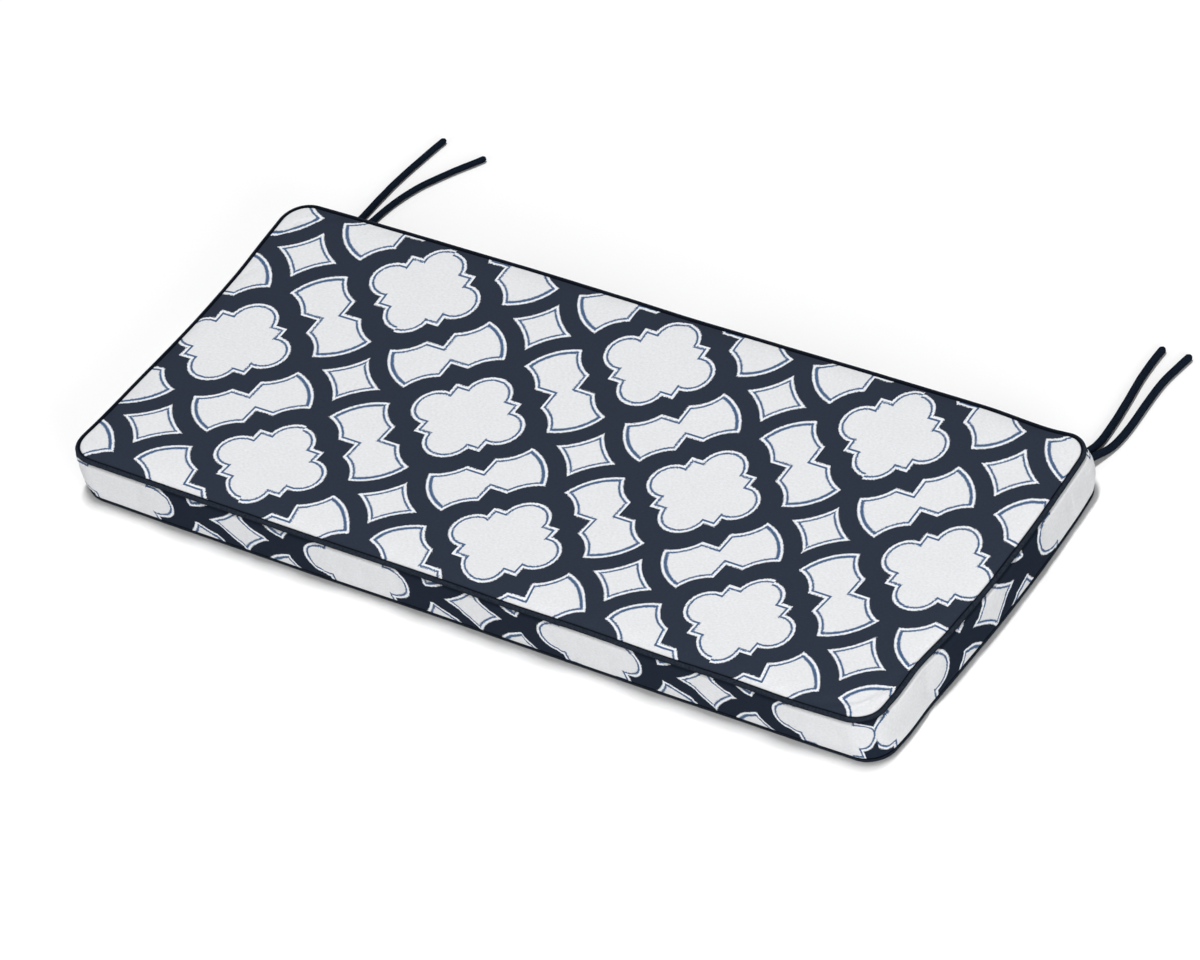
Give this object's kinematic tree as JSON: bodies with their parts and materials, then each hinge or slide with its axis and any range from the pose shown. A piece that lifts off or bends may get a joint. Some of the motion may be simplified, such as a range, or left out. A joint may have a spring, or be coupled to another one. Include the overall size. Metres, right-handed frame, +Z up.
{
  "type": "bench cushion",
  "caption": "Long box-edged bench cushion: filled pad with printed cover, corded piping round both edges and fabric ties in pairs at the back corners.",
  "frame": {"origin": "under the middle of the footprint of the pad and its piping, on the surface that the cushion lies on; the ties don't count", "axes": "+X along the cushion, left to right as seen from the front; +Y towards the back edge, where the ties are; +Z up, out of the top panel"},
  "size_m": [1.2406, 0.7424, 0.0742],
  "materials": {
    "printed_cloth": "matt woven polyester, navy quatrefoil trellis on white",
    "piping_cloth": "matt woven navy cloth over cord",
    "tie_cloth": "matt woven dark navy cloth"
  },
  "bodies": {
    "root": {"cushion": "printed_cloth", "piping_top": "piping_cloth", "piping_bottom": "piping_cloth", "tie_left_a": "tie_cloth", "tie_left_b": "tie_cloth", "tie_right_a": "tie_cloth", "tie_right_b": "tie_cloth"}
  },
  "joints": []
}
